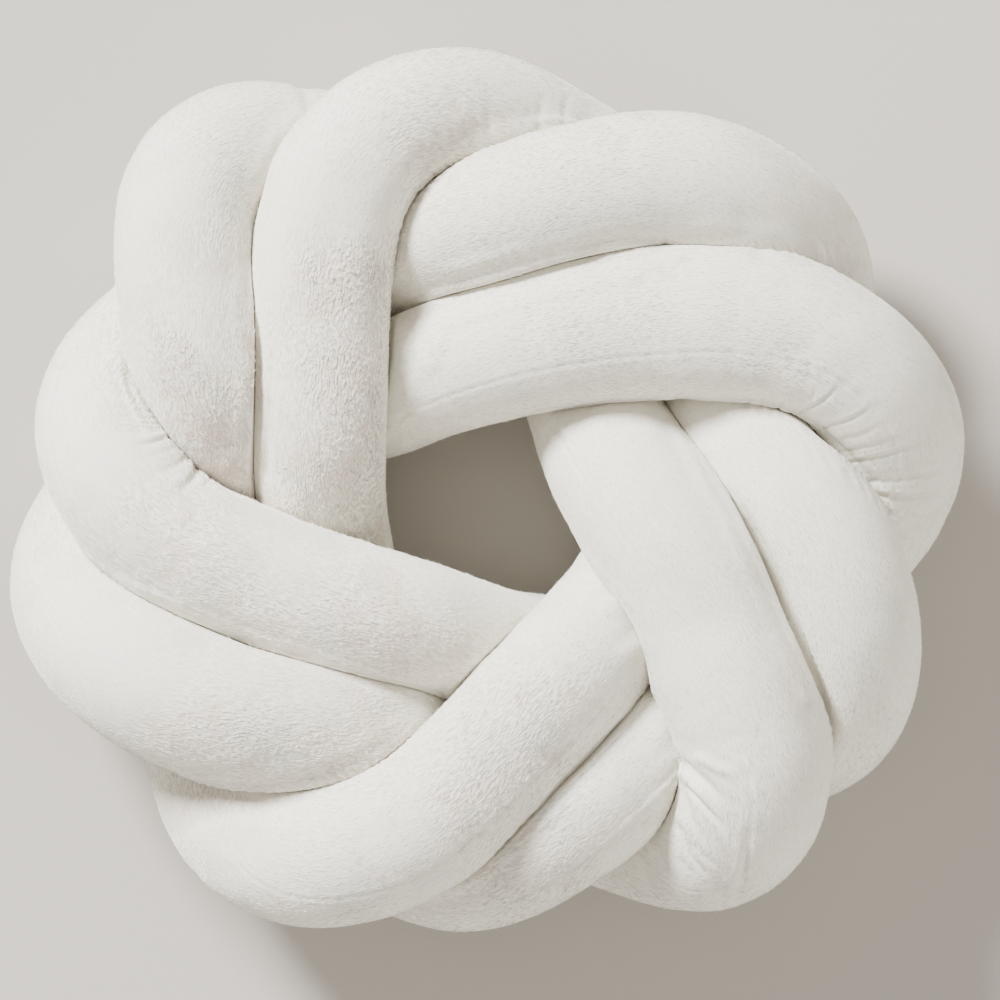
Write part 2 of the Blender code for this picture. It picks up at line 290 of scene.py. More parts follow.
# how closely neighbours meet, by pass: first row, last row, side, share of "bridged" over which they are
# pressed together, and what the groove between them gains in depth, in mm
meetings = {
    "firstOuter": [(0.0, 3.2, 1, 1.8, -0.3)],
    "firstInner": [(2.1, 4.0, -1, 1.3, -0.3)],
    "fifthInner": [
        (5.0, 6.2, 1, 1.4, 0.0), (6.2, 8.2, 1, 1.0, 2.6), (2.0, 4.6, -1, 1.4, -0.3),
        (0.0, 1.2, -1, 2.4, -0.4),
    ],
    "secondInner": [
        (5.4, 6.5, 1, 2.0, 0.2), (6.5, 7.1, 1, 1.6, 0.7), (7.1, 9.6, 1, 1.1, 2.6),
        (1.0, 4.6, -1, 3.2, -0.4),
    ],
    "thirdOuter": [(2.0, 6.4, 1, 0.3, 5.0), (0.4, 2.0, -1, 1.6, -0.2)],
    "thirdInner": [(1.8, 5.4, -1, 2.0, -0.3)],
    "secondOuter": [(-0.4, 2.0, -1, 1.0, 2.2), (1.6, 4.6, 1, 3.0, -0.4), (5.0, 7.4, 1, 1.8, -0.4)],
    "fourthOuter": [(-0.2, 2.4, 1, 1.5, 0.5)],
    "fifthOuter": [(0.0, 3.4, -1, 2.8, -0.4)],
    "fourthInner": [(5.6, 9.4, 1, 3.2, -0.4)],
}

# how much of the room between two stretches one takes up, against its girth alone: row, share
leaning = {
    "firstInner": [(1.2, 1.0), (1.8, 1.05), (3.0, 1.05), (3.8, 1.0), (4.6, 1.0), (5.4, 0.93), (6.4, 1.0)],
    "thirdOuter": [(0.8, 1.0), (1.6, 0.9), (2.6, 0.9), (3.6, 1.0)],
    "secondOuter": [(0.6, 1.0), (1.2, 1.05), (2.0, 0.96), (3.2, 0.95), (4.2, 0.97), (5.0, 1.0)],
    "fifthInner": [(5.8, 1.0), (6.5, 1.1), (7.4, 1.12), (8.4, 1.0)],
    "fourthInner": [
        (1.4, 1.0), (2.5, 1.1), (3.6, 1.07), (4.8, 1.0), (6.2, 1.0), (7.2, 1.05), (8.2, 1.08), (9.2, 1.0),
    ],
    "firstOuter": [
        (-0.6, 1.0), (0.2, 0.88), (1.0, 0.83), (1.8, 0.86), (2.8, 1.0), (4.0, 1.0), (4.8, 1.1),
        (5.8, 1.0),
    ],
    "thirdInner": [(1.6, 1.0), (2.4, 0.97), (4.6, 0.96), (5.6, 1.0)],
    "fifthOuter": [(1.5, 1.0), (2.3, 0.95), (3.2, 0.9), (4.2, 1.0)],
    "secondInner": [
        (1.2, 0.98), (2.0, 1.03), (3.2, 1.04), (4.4, 1.02), (5.4, 1.0), (6.6, 1.0), (7.4, 1.1),
        (8.4, 1.08), (9.2, 1.0),
    ],
    "fourthOuter": [(0.7, 1.0), (1.7, 0.9), (2.8, 0.92), (3.8, 1.0)],
}

# angle of the lengthwise seam: row, degrees from the top towards the inner side of the bend
seamTurns = {
    "firstInner": [(2.0, -95), (7.0, -95)],
    "thirdOuter": [(1.0, -110), (4.0, -110)],
    "fifthInner": [(0.0, -100), (3.0, -62), (5.0, -48), (7.0, -50)],
    "secondOuter": [(1.0, -100), (6.0, -100)],
    "fourthInner": [(1.0, -60), (3.0, -41), (5.0, -42), (7.0, -35)],
    "firstOuter": [(0.0, 90), (6.0, 100)],
    "thirdInner": [(1.0, 35), (2.0, 27), (3.0, 24), (4.5, 18), (6.0, 5), (7.0, -40)],
    "fifthOuter": [(1.0, 100), (5.0, 100)],
    "secondInner": [(0.0, 40), (1.0, 27), (3.0, 24), (4.5, 25), (5.5, 23), (6.5, 20), (7.5, 10), (9.0, -6)],
    "fourthOuter": [(0.0, -42), (2.0, -40), (4.0, -42), (6.0, -60)],
}


def crowded(spacing, length):
    # shares of a length, as far apart as the spacing asks for all along it
    steps = len(spacing)
    crowd = np.concatenate([[0], np.cumsum(1 / spacing)]) * length / steps
    count = int(crowd[-1])
    return np.interp(np.arange(count) / count * crowd[-1], crowd, np.arange(steps + 1) / steps)


def ringShares():
    # ring places along the tube, closer where it shows and closest where it is pleated
    shares = np.arange(skin["alongSteps"]) / skin["alongSteps"]
    shown = softened(shownAlong, skin["shownSoftening"])
    shown = np.interp(shares * len(shown), np.arange(len(shown)), shown)
    spacing = skin["hiddenSpacing"] + (skin["shownSpacing"] - skin["hiddenSpacing"]) * shown
    for name in closerRings:
        for first, last, closer in closerRings[name]:
            inside = (shares > shareOf(name, first)) & (shares < shareOf(name, last))
            spacing = np.where(inside, closer, spacing)
    return crowded(softened(spacing, skin["spacingSoftening"]), tubeLength)


def sideTurns():
    # the first column follows the seam, and they stand closer beside it and over the side that is folded
    degrees = np.arange(skin["turnSteps"]) * 360 / skin["turnSteps"]
    close = (degrees < skin["closeTo"]) | (degrees > 360 + skin["closeFrom"])
    spacing = softened(np.where(close, skin["closeTurn"], skin["wideTurn"]), skin["turnSoftening"])
    return np.radians(360 * crowded(spacing, 360))


def seamTurnAt(shares):
    even = np.arange(skin["seamSteps"]) / skin["seamSteps"]
    angles = softened(np.interp(even, *placed(seamTurns), period=1), skin["seamSoftening"])
    return np.radians(closedAt(angles, shares))


def leaningGirthAt(shares):
    # the girth, taken larger or smaller where the tube takes more or less room than its neighbours
    return girthAt(shares) * np.interp(np.mod(shares, 1), *placed(leaning), period=1)


pressShares = np.arange(knot["pressPoints"]) / knot["pressPoints"]
pressLine = lineAt(pressShares)


def reach(shares, points, girthOf, directions, gap, tightest):
    # how far the skin may lie from the centre line: for the bend it is in, and for its neighbours
    girths, pressGirth = girthOf(shares), girthOf(pressShares)
    limit = np.full(directions.shape[:2], np.inf)
    neighbours = np.full(directions.shape[:2], np.inf)
    step = knot["bendStep"]
    bends = []
    for turn in (-2, -1, 0, 1, 2):
        at = [lineAt(shares + (turn + side) * step / tubeLength) for side in (-1, 0, 1)]
        bends.append((at[0] - 2 * at[1] + at[2]) / step**2)
    for ring, point in enumerate(points):
        along = np.abs(pressShares - shares[ring]) * tubeLength
        towards = pressLine - point
        distance = np.linalg.norm(towards, axis=1)
        near = (distance < knot["near"]) & (np.minimum(along, tubeLength - along) > knot["sameStretch"])
        if near.any():
            share = girths[ring] / (girths[ring] + pressGirth[near])
            meeting = distance[near] * share - gap / 2
            facing = directions[ring] @ (towards[near] / distance[near][:, None]).T
            reached = meeting / np.maximum(facing, knot["leastFacing"])
            reached = np.where(facing > knot["leastFacing"], reached, np.inf)
            neighbours[ring] = reached.min(axis=1)
        for bend in bends:
            inward = directions[ring] @ bend[ring]
            limit[ring] = np.minimum(limit[ring], tightest / np.maximum(inward, knot["leastBend"]))
    return limit, neighbours


def meetingAt(shares, turns):
    # the share of "bridged" and the depths of the two grooves, in metres, at every point of the skin
    share, wider = np.ones(turns.shape), np.zeros(turns.shape)
    groove = np.full(turns.shape, skin["grooveDepth"])
    soft = skin["meetingEase"] / tubeLength
    for name in meetings:
        for first, last, side, closer, deeper in meetings[name]:
            start, end = shareOf(name, first), shareOf(name, last)
            along = smoothstep(start - soft, start + soft, shares)
            along = along * (1 - smoothstep(end - soft, end + soft, shares))
            there = along[:, None] * smoothstep(*skin["sideEase"], side * np.sin(turns))
            share += (closer - 1) * there
            groove += min(deeper, 0) / 1000 * there
            wider += max(deeper, 0) / 1000 * there
    return share, np.clip(groove, 0, None), wider


def nearness(places, whole, length, width):
    # how much each place on a closed line counts at every other, by the distance between them
    apart = np.abs(places[:, None] - places[None, :])
    apart = np.minimum(apart, whole - apart) * length
    weights = np.exp(-(apart / width) ** 2) * np.gradient(places)[None, :]
    return weights / weights.sum(axis=1, keepdims=True)


def besideEdge(touching, shares, turns, width):
    # 1 along the edge of the touching faces, falling to 0 on both sides of it
    along = nearness(shares, 1, tubeLength, width)
    around = nearness(turns[0], 2 * math.pi, float(girthAt(shares).mean()), width)
    blurred = along @ touching.astype(float) @ around.T
    return 4 * blurred * (1 - blurred)


def pressed(far, bent, neighbours, bridged):
    # keeps the skin within its bend and its neighbours, and presses it out to a neighbour that is very near
    far = np.minimum(far, bent)
    lack = np.clip(neighbours - far, 0, bridged) / bridged
    return np.minimum(far + lack * bridged * (1 - smoothstep(*skin["bridgeEase"], lack)), neighbours)


def rounded(limit, rounds):
    # softens the corners of the pressed faces without ever passing the limit
    softer = limit
    for _ in range(rounds):
        around = (np.roll(softer, 1, 1) + np.roll(softer, -1, 1)) / 2
        beside = (np.roll(softer, 1, 0) + np.roll(softer, -1, 0)) / 2
        softer = np.minimum(limit, softer / 2 + around / 4 + beside / 4)
    return softer


def acrossTube(shares):
    # sideways and upward directions across the tube at each ring
    step = knot["acrossStep"] / tubeLength
    along = lineAt(shares + step) - lineAt(shares - step)
    along /= np.linalg.norm(along, axis=1, keepdims=True)
    side = np.cross(along, (0.0, 0.0, 1.0))
    side /= np.linalg.norm(side, axis=1, keepdims=True)
    return side, np.cross(side, along)


def fannedOut(shares, turns):
    # directions from the centre line at the given turns from its upward side
    side, up = acrossTube(shares)
    return side[:, None, :] * np.sin(turns)[:, :, None] + up[:, None, :] * np.cos(turns)[:, :, None]


# uneven stuffing, as large and small waves: height, longest and shortest, most round the tube, how many
lumps = {"large": (0.00035, 0.16, 0.07, 2, 14), "small": (0.00012, 0.034, 0.018, 5, 18), "seed": 11}


def lumpAt(shares, turns):
    # soft waves of fixed random length and direction, closed round the tube
    dice = np.random.default_rng(lumps["seed"])
    raised = np.zeros(turns.shape)
    for size, longest, shortest, mostRound, count in (lumps["large"], lumps["small"]):
        for _ in range(count):
            waves = round(tubeLength / dice.uniform(shortest, longest))
            aroundTube = dice.integers(-mostRound, mostRound + 1)
            phase = dice.uniform(0, 2 * math.pi)
            raised += size * math.sqrt(2 / count) * np.sin(
                2 * math.pi * waves * shares[:, None] + aroundTube * turns + phase)
    return raised


def startingSkin():
    shares = ringShares()
    points = lineAt(shares)
    turns = seamTurnAt(shares)[:, None] + sideTurns()[None, :]
    directions = fannedOut(shares, turns)
    bent, neighbours = reach(shares, points, leaningGirthAt, directions, skin["gap"], skin["tightestBend"])
    size = girthAt(shares)[:, None] * skin["startSize"] + lumpAt(shares, turns)
    share, _, _ = meetingAt(shares, turns)
    limit = rounded(pressed(size, bent, neighbours, skin["bridged"] * share), skin["cornerRounds"])
    fullest = size * skin["bulge"] / skin["startSize"]
    return shares, turns, fullest, points[:, None, :] + directions * limit[:, :, None]


def added(name, data):
    # a new object, put in the scene
    made = bpy.data.objects.new(name, data)
    bpy.context.scene.collection.objects.link(made)
    return made


def gridFaces(rings, sides):
    index = np.arange(rings * sides).reshape(rings, sides)
    ahead, beside = np.roll(index, -1, 0), np.roll(index, -1, 1)
    return np.stack([index, beside, np.roll(ahead, -1, 1), ahead], axis=2).reshape(-1, 4)


def gridMesh(name, surface):
    mesh = bpy.data.meshes.new(name)
    faces = gridFaces(*surface.shape[:2])
    mesh.from_pydata(surface.reshape(-1, 3).tolist(), [], faces.tolist())
    mesh.update()
    return mesh


stuffing = {
    "pressure": 4.0,
    "frames": 20,
    "quality": 5,
    "mass": 0.3,
    "stretchStiffness": 15.0,
    "bendStiffness": 0.5,
    "mostMove": 0.004,  # cap on how far the stuffing may push a point
}


def stuffed(surface):
    # the closed skin swells under the stuffing's pressure, as cloth, and the result is kept
    piece = added("stuffedSkin", gridMesh("stuffedSkin", surface))
    cloth = piece.modifiers.new("stuffing", "CLOTH")
    settings = cloth.settings
    settings.quality = stuffing["quality"]
    settings.mass = stuffing["mass"]
    settings.tension_stiffness = settings.compression_stiffness = stuffing["stretchStiffness"]
    settings.bending_stiffness = stuffing["bendStiffness"]
    settings.use_pressure = True
    settings.uniform_pressure_force = stuffing["pressure"]
    settings.effector_weights.gravity = 0
    cloth.collision_settings.use_collision = False
    cloth.point_cache.frame_start, cloth.point_cache.frame_end = 1, stuffing["frames"]
    for frameNumber in range(1, stuffing["frames"] + 1):
        bpy.context.scene.frame_set(frameNumber)
    graph = bpy.context.evaluated_depsgraph_get()
    evaluated = piece.evaluated_get(graph)
    moved = np.empty(len(evaluated.data.vertices) * 3)
    evaluated.data.vertices.foreach_get("co", moved)
    moved = moved.reshape(surface.shape) - surface
    bpy.data.objects.remove(piece, do_unlink=True)
    bpy.context.scene.frame_set(1)
    far = np.linalg.norm(moved, axis=2, keepdims=True)
    print("stuffing moves the skin by up to", round(float(far.max()) * 1000, 2), "mm, mean",
          round(float(far.mean()) * 1000, 2), "mm")
    return surface + moved * np.minimum(1, stuffing["mostMove"] / np.maximum(far, tiny))


def keptApart(surface, shares, turns, fullest, bridged, rounds, grooved=False):
    # pulls every point of the skin back between its neighbours
    points = lineAt(shares)
    away = surface - points[:, None, :]
    far = np.linalg.norm(away, axis=2)
    directions = away / far[:, :, None]
    bent, neighbours = reach(shares, points, leaningGirthAt, directions, skin["gap"], skin["tightestBend"])
    far = np.minimum(far, fullest)
    share, groove, wider = meetingAt(shares, turns)
    limit = rounded(pressed(far, bent, neighbours, bridged * share), rounds)
    if grooved:
        touching = neighbours - limit < skin["touching"]
        limit = limit - groove * besideEdge(touching, shares, turns, skin["grooveWidth"])
        limit = limit - wider * besideEdge(touching, shares, turns, skin["wideGroove"])
    bare = smoothstep(*skin["bareFrom"], np.minimum(neighbours, 1) - limit)
    return points[:, None, :] + directions * limit[:, :, None], bare


def refined(values, jumpRing=0.0, jumpSide=0.0):
    # one round of smooth subdivision of a closed grid; the jumps are what a value gains over a full turn
    def doubled(grid, axis, jump):
        grid = np.moveaxis(grid, axis, 0)
        after = np.roll(grid, -1, 0).copy()
        after[-1] += jump
        before = np.roll(grid, 1, 0).copy()
        before[0] -= jump
        result = np.empty((2 * len(grid), *grid.shape[1:]))
        result[0::2] = before / 8 + grid * 6 / 8 + after / 8
        result[1::2] = (grid + after) / 2
        return np.moveaxis(result, 0, axis)
    return doubled(doubled(values, 0, jumpRing), 1, jumpSide)


def normals(surface):
    ahead = np.roll(surface, -1, 0) - np.roll(surface, 1, 0)
    beside = np.roll(surface, -1, 1) - np.roll(surface, 1, 1)
    facing = np.cross(beside, ahead)
    return facing / np.linalg.norm(facing, axis=2, keepdims=True)


shares, turns, fullest, surface = startingSkin()
print("skin laid out,", surface.shape[0], "rings of", surface.shape[1])
surface = stuffed(surface)
surface, _ = keptApart(surface, shares, turns, fullest, skin["bridged"], skin["cornerRounds"])
surface, fullest = refined(surface), refined(fullest)
shares = refined(shares[:, None], 1.0)[:, 0]
offsets = refined(sideTurns()[None, :], 0.0, 2 * math.pi)[0]
turns = seamTurnAt(shares)[:, None] + offsets[None, :]
surface, bare = keptApart(surface, shares, turns, fullest, skin["bridgedFinely"], 0, True)
print("skin refined,", surface.shape[0], "rings of", surface.shape[1])

seam = {
    "depth": 0.00018, "width": 0.0010, "swell": 0.00014, "swellWidth": 0.0024,
    "swellSpread": 0.6,  # how wide the swell is, as a share of its distance from the seam
    "pucker": 0.70, "puckerPitch": 0.0088,
    "uneven": ((1.3, 41), (0.9, 67)),  # what the pucker's pitch wanders by, and how fast, in turns a metre
}

# soft troughs on the face grid, by pass: start x y, end x y, bow, width and depth in mm, lip beside it
creases = {
    "secondInner": [
        (746, 411, 750, 396, 0, 0.9, 0.7, 0.0), (757, 413, 764, 395, 0, 0.9, 0.4, 0.0),
        (774, 416, 784, 396, 0, 0.9, 0.8, 0.0), (789, 417, 797, 402, 0, 0.9, 0.4, 0.0),
        (811, 399, 814, 388, 0, 0.8, 0.35, 0.0), (804, 409, 838, 384, -4, 0.9, 0.95, 0.5),
        (829, 425, 872, 405, -4, 0.9, 0.85, 0.5), (846, 438, 880, 424, -3, 1.2, 0.45, 0.3),
        (850, 450, 902, 436, -1, 0.9, 0.7, 0.3), (856, 461, 932, 438, -3, 1.0, 1.05, 0.6),
        (868, 474, 915, 468, -2, 1.4, 0.45, 0.0), (872, 481, 952, 464, -5, 1.6, 1.4, 0.0),
        (872, 494, 962, 486, -7, 1.3, 1.9, 0.5), (882, 511, 940, 517, -4, 1.5, 0.9, 0.4),
        (890, 528, 921, 528, 0, 1.1, 0.45, 0.0), (892, 541, 930, 541, 0, 1.0, 0.75, 0.3),
        (617, 384, 616, 368, 0, 1.0, 0.8, 0.4),
    ],
    "thirdInner": [
        (680, 762, 726, 804, 1, 2.3, 2.2, -0.8), (692, 793, 724, 826, -1, 1.3, 1.8, 0.6),
        (703, 759, 738, 776, -1, 2.2, -1.4, 0.0), (685, 796, 708, 846, -4, 1.6, 0.8, -0.3),
        (681, 832, 712, 878, -6, 1.9, 1.2, 0.5), (694, 846, 724, 870, -2, 1.5, 0.4, 0.3),
        (682, 861, 702, 879, -2, 1.6, 0.45, 0.0), (660, 846, 694, 908, -6, 2.2, 1.1, -0.6),
        (645, 856, 655, 902, -3, 1.8, 0.75, -0.6), (736, 900, 746, 812, -4, 2.0, 1.1, 0.7),
    ],
    "fourthOuter": [(676, 779, 588, 860, 0, 2.2, -0.6, 0.9)],
    "fifthInner": [
        (148, 375, 112, 369, 4, 0.7, 0.16, 0.0), (151, 384, 108, 378, 4, 0.7, 0.2, 0.0),
        (153, 394, 106, 388, 3, 0.7, 0.3, 0.0), (155, 404, 104, 396, 3, 0.7, 0.38, 0.0),
        (156, 412, 104, 402, 2, 0.7, 0.7, 0.0), (157, 419, 103, 409, 2, 0.7, 0.8, 0.0),
        (158, 424, 101, 416, 1, 0.7, 0.9, 0.0), (159, 428, 100, 423, 1, 0.7, 0.9, 0.0),
        (159, 431, 101, 432, 0, 0.7, 0.75, 0.0), (165, 438, 130, 444, 3, 1.2, 0.75, -0.7),
        (173, 449, 140, 456, 2, 1.2, 0.25, 0.0), (185, 460, 150, 474, 3, 1.3, 0.45, 0.0),
        (198, 467, 176, 492, 5, 2.3, 1.1, -0.6), (212, 478, 196, 490, 2, 1.3, 0.3, 0.0),
    ],
    "firstInner": [
        (420, 198, 412, 150, 4, 1.6, 0.5, 0.4), (434, 174, 424, 130, 4, 1.5, 0.5, 0.4),
        (447, 166, 442, 118, 3, 1.6, 0.5, 0.4), (493, 147, 490, 98, 3, 1.7, 0.6, 0.4),
        (517, 139, 518, 96, 3, 1.5, 0.4, 0.4), (541, 130, 546, 90, 3, 1.7, 0.6, 0.4),
        (565, 120, 572, 88, 3, 1.5, 0.5, 0.4),
    ],
    "fourthInner": [
        (228, 790, 214, 818, 2, 1.2, 0.35, 0.4), (246, 798, 237, 830, 2, 1.2, 0.4, 0.4),
        (264, 804, 258, 838, 2, 1.2, 0.35, 0.4),
    ],
    "firstOuter": [(290, 60, 314, 112, 2, 3.6, 1.9, 0.0)],
    "secondOuter": [(665, 252, 664, 229, 0, 0.8, 0.9, 0.3)],
}
fold = {
    "lipAway": 1.7, "lipHeight": 0.6,  # the lip's distance in widths of the trough, and height in depths
    "fadeIn": (-0.40, 0.05), "fadeOut": (0.45, 1.10),  # shares of the trough's length
    "levels": (-0.75, -0.35),  # how far round the tube a fold may go, as the skin's upward share
    "clearLevels": (0.0, 0.4),  # the same for the ones that keep clear of the edge
    "clearPass": "thirdInner", "clearWidth": 0.75,  # those of one pass, and the finest ones
    "endSlack": 0.004,  # share of the tube's length by which a fold may pass its rows
}


def troughProfile(distance, width, lip):
    # a trough with one raised lip, on the side that the lip's sign names
    side = (distance * np.sign(lip) - fold["lipAway"] * width) / width
    return -np.exp(-(distance / width) ** 2) + abs(lip) * fold["lipHeight"] * np.exp(-side**2)


def facePlace(spots):
    # face grid place of every point of the skin, before it is centred
    x = spots[..., 0] / knot["gridStep"] + knot["gridCentre"][0]
    return x, knot["gridCentre"][1] - spots[..., 1] / knot["gridStep"]


def creased(surface, shares):
    facing = normals(surface)
    x, y = facePlace(surface)
    raised = np.zeros(surface.shape[:2])
    for name in creases:
        low, high = shareOf(name, 0), shareOf(name, len(passes[name]) - 1)
        slack = fold["endSlack"]
        there = np.nonzero((shares % 1 > low - slack) & (shares % 1 < high + slack))[0]
        spots, level = np.stack([x[there], y[there]], axis=-1), facing[there, :, 2]
        for x0, y0, x1, y1, bow, width, depth, lip in creases[name]:
            start, run = np.array((x0, y0), float), np.array((x1 - x0, y1 - y0), float)
            length = np.linalg.norm(run)
            across = np.array((run[1], -run[0])) / length
            part = (spots - start) @ run / length**2
            bent = bow * 4 * np.clip(part, 0, 1) * (1 - np.clip(part, 0, 1))
            distance = ((spots - start) @ across - bent) * knot["gridStep"] * 1000
            fade = smoothstep(*fold["fadeIn"], part) * (1 - smoothstep(*fold["fadeOut"], part))
            clear = name == fold["clearPass"] or width < fold["clearWidth"]
            fade *= smoothstep(*fold["clearLevels" if clear else "levels"], level)
            raised[there] += depth / 1000 * fade * troughProfile(distance, width, lip)
    return surface + facing * raised[:, :, None]


def seamed(surface, shares, offsets):
    away = (offsets + math.pi) % (2 * math.pi) - math.pi
    distance = away[None, :] * girthAt(shares)[:, None]
    along = (shares * tubeLength)[:, None]
    wander = sum(size * np.sin(along * speed) for size, speed in seam["uneven"])
    wave = np.sin(2 * math.pi * along / seam["puckerPitch"] + wander)
    side = (np.abs(distance) - seam["swellWidth"]) / (seam["swellWidth"] * seam["swellSpread"])
    raised = -seam["depth"] * (1 + seam["pucker"] * wave) * np.exp(-(distance / seam["width"]) ** 2)
    raised += seam["swell"] * (1 - seam["pucker"] * wave) * np.exp(-side**2)
    return surface + normals(surface) * raised[:, :, None]


surface = creased(seamed(surface, shares, offsets), shares)
print("seam and folds placed")


def solidShift():
    # the sideways shift and the lift that the solid got when it was laid down, worked out the same way
    count, sides = knot["solidRings"], knot["solidSides"]
    at = np.arange(count) / count
    centres = lineAt(at)
    turn = np.tile((np.arange(sides) + 0.5) * 2 * math.pi / sides, (count, 1))
    directions = fannedOut(at, turn)
    bent, neighbours = reach(at, centres, girthAt, directions, knot["solidGap"], knot["tightestBend"])
    limit = np.minimum(np.minimum(girthAt(at)[:, None], bent), neighbours)
    solid = centres[:, None, :] + directions * rounded(limit, skin["cornerRounds"])[:, :, None]
    low, high = solid.min(axis=(0, 1)), solid.max(axis=(0, 1))
    return np.array([*(-(low + high) / 2)[:2], -(low[2] + knot["restDepth"])])


laidBy = solidShift()
surface = surface + laidBy
surface[:, :, 2] = np.maximum(surface[:, :, 2], 0)
print("laid down,", np.round(surface.max(axis=(0, 1)) - surface.min(axis=(0, 1)), 4).tolist())

cushion = added("knotCushion", gridMesh("knotCushion", surface))
cushion.data.shade_smooth()


def mapTube(mesh, shares, offsets):
    # the tube's own map in metres: along it, and round it from the seam
    rings, sides = len(shares), len(offsets)
    along = np.concatenate([shares, [shares[0] + 1]]) * tubeLength
    around = np.concatenate([offsets, [offsets[0] + 2 * math.pi]]) * float(girthAt(shares).mean())
    ring, side = np.divmod(np.arange(rings * sides), sides)
    corners = np.stack([
        np.stack([along[ring + ahead], around[side + beside]], axis=1)
        for ahead, beside in ((0, 0), (0, 1), (1, 1), (1, 0))], axis=1)
    layer = mesh.uv_layers.new(name="tubeMap")
    layer.data.foreach_set("uv", corners.reshape(-1).astype(np.float32))


mapTube(cushion.data, shares, offsets)

# how ruffled the pile lies, by pass: row, strength from 0, brushed smooth, degrees from the top to its
# middle. The finish also darkens the ruffled sides, partly as the nap's own tone and partly as painted shade
# where those sides lie in shade.
ruffledPlaces = {
    "firstInner": [(1.0, 2.6, 15), (3.5, 2.8, 15), (5.0, 0.8, 35), (8.0, 0.4, 40)],
    "thirdOuter": [(1.0, 0.25, 0), (5.0, 0.3, 0)],
    "fifthInner": [(0.5, 0.9, 0), (3.0, 1.3, -10), (5.0, 1.0, 30), (6.0, 0.8, 45), (7.0, 0.6, 45)],
    "secondOuter": [(1.0, 0.4, 0), (6.0, 0.2, 0)],
    "fourthInner": [(1.0, 0.6, 0), (5.0, 0.8, 0), (8.0, 0.3, 0)],
    "firstOuter": [(0.0, 3.2, 20), (2.0, 3.2, 25), (4.0, 0.7, 35), (6.0, 0.2, 40)],
    "thirdInner": [(1.0, 0.3, -20), (5.0, 0.15, -40)],
    "fifthOuter": [(0.0, 0.9, 10), (3.0, 1.1, 10), (5.0, 0.3, 0)],
    "secondInner": [(1.0, 0.6, 20), (4.0, 0.35, 30), (7.0, 0.5, 30)],
    "fourthOuter": [(2.0, 0.5, -20)],
}


ruffling = {"least": 0.15, "sides": (0.1, 0.9)}  # strength away from the middle, and where it gets there


def ruffledAt(shares, turns):
    places, *columns = placed(ruffledPlaces)
    strength, middle = (np.interp(np.mod(shares, 1), places, column, period=1) for column in columns)
    beside = smoothstep(*ruffling["sides"], np.cos(turns - np.radians(middle)[:, None]))
    return strength[:, None] * (ruffling["least"] + (1 - ruffling["least"]) * beside)


def setAlong(body, name, values):
    # keeps a value or a direction for every point of the skin
    kind, field = ("FLOAT", "value") if values.ndim == 2 else ("FLOAT_VECTOR", "vector")
    kept = body.data.attributes.new(name, kind, "POINT")
    kept.data.foreach_set(field, values.reshape(-1).astype(np.float32))


# the ruffled strength shapes the pile and also places painted shade on the ruffled sides
setAlong(cushion, "ruffled", ruffledAt(shares, turns))


class Wire:
    # a socket, with sums of sockets and numbers written as sums
    def __init__(self, graph, socket):
        self.graph, self.socket = graph, socket

    def maths(self, operation, one, other):
        return self.graph.node("ShaderNodeMath", {"operation": operation}, {0: one, 1: other})

    def atMost(self, most): return self.maths("MINIMUM", self, most)
    def __add__(self, other): return self.maths("ADD", self, other)
    def __radd__(self, other): return self.maths("ADD", other, self)
    def __sub__(self, other): return self.maths("SUBTRACT", self, other)
    def __rsub__(self, other): return self.maths("SUBTRACT", other, self)
    def __mul__(self, other): return self.maths("MULTIPLY", self, other)
    def __rmul__(self, other): return self.maths("MULTIPLY", other, self)
    def __pow__(self, other): return self.maths("POWER", self, other)


class Graph:
    # a node tree, of a finish or of the pile
    def __init__(self, tree):
        self.tree = tree

    def node(self, kind, settings=None, values=None, result=0):
        made = self.tree.nodes.new(kind)
        for name, value in (settings or {}).items():
            setattr(made, name, value)
        for name, value in (values or {}).items():
            self.feed(made.inputs[name], value)
        return Wire(self, made.outputs[result])

    def feed(self, socket, value):
        if isinstance(value, Wire):
            self.tree.links.new(value.socket, socket)
        else:
            socket.default_value = value

    def vectors(self, operation, one, other, socket=1):
        return self.node("ShaderNodeVectorMath", {"operation": operation}, {0: one, socket: other})

    def noise(self, spot, scale, detail, result=0, kind="3D"):
        values = {"Vector": spot, "Scale": scale, "Detail": detail}
        return self.node("ShaderNodeTexNoise", {"noise_dimensions": kind}, values, result)

    def ranged(self, value, low, high, least=0.0, most=1.0, kind="SMOOTHSTEP"):
        values = {"Value": value, "From Min": low, "From Max": high, "To Min": least, "To Max": most}
        return self.node("ShaderNodeMapRange", {"interpolation_type": kind}, values)


def finishOf(name, constants):
    made = bpy.data.materials.new(name)
    made.use_nodes = True
    for socket, value in constants.items():
        made.node_tree.nodes["Principled BSDF"].inputs[socket].default_value = value
    return made


